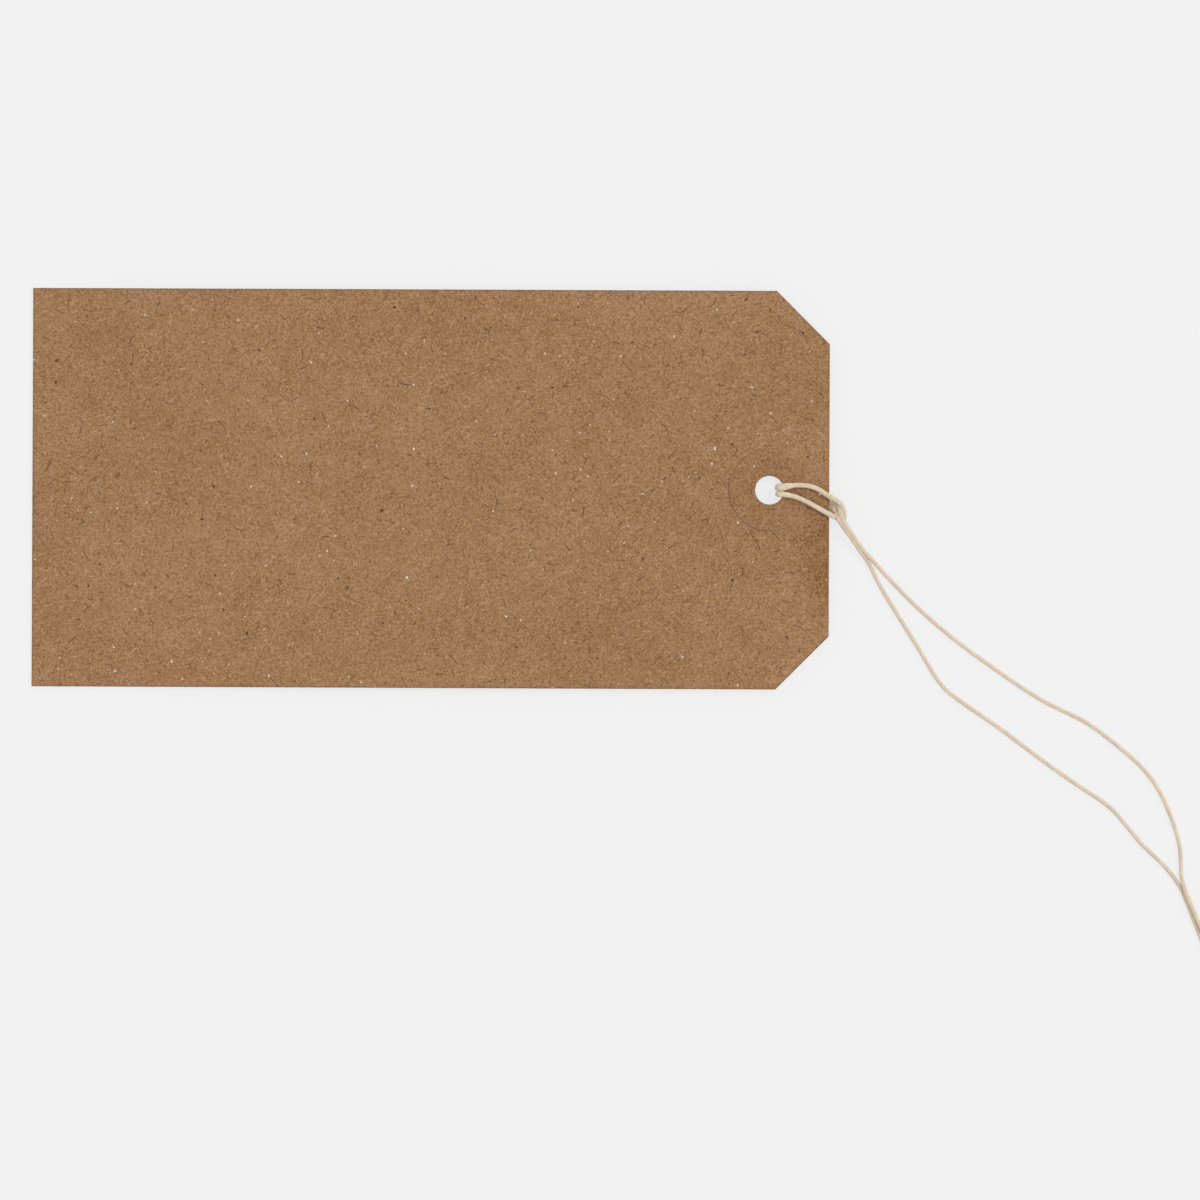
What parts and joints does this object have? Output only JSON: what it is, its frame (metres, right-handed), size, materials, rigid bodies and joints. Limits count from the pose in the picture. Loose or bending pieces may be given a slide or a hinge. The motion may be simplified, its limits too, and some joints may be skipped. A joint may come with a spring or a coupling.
{
  "type": "strung gift tag",
  "caption": "Flat kraft card tag with two cut corners, a punched hole between paper washers, and a cotton string hitched through the hole as a tying loop.",
  "frame": {"origin": "centre of the card, at half its thickness", "axes": "+X along the card towards its string end, +Y across the card, +Z out of its front face"},
  "size_m": [0.1852, 0.1244, 0.0022],
  "materials": {
    "kraft_card": "uncoated, matt, flecked",
    "kraft_washer": "uncoated, matt",
    "gum": "dried gum",
    "cotton_string": "twisted cotton"
  },
  "bodies": {
    "tag": {"tag_card": "kraft_card", "front_patch": "kraft_washer", "rear_patch": "kraft_washer", "front_patch_glue": "gum", "rear_patch_glue": "gum"},
    "hitch": {"string_hitch": "cotton_string"},
    "neck": {"neck_strand_upper": "cotton_string", "neck_strand_lower": "cotton_string"},
    "loop": {"loop_strand_upper": "cotton_string", "loop_strand_lower": "cotton_string", "end_knot": "cotton_string", "tail_upper": "cotton_string", "tail_lower": "cotton_string"}
  },
  "joints": [
    {"name": "hitch_swing", "type": "hinge", "parent": "tag", "child": "hitch", "pos_m": [0.051, 0, 0], "axis": [0, 0, 1], "range_deg": [-4, 36]},
    {"name": "string_swing", "type": "hinge", "parent": "hitch", "child": "neck", "pos_m": [0.06269, -0.00492, 0.00074], "axis": [0, 0, 1], "range_deg": [-20, 70]},
    {"name": "loop_fold", "type": "hinge", "parent": "neck", "child": "loop", "pos_m": [0.0653, -0.0092, -0.00077], "axis": [-0.8512, -0.5249, 0], "range_deg": [-90, 90]}
  ]
}
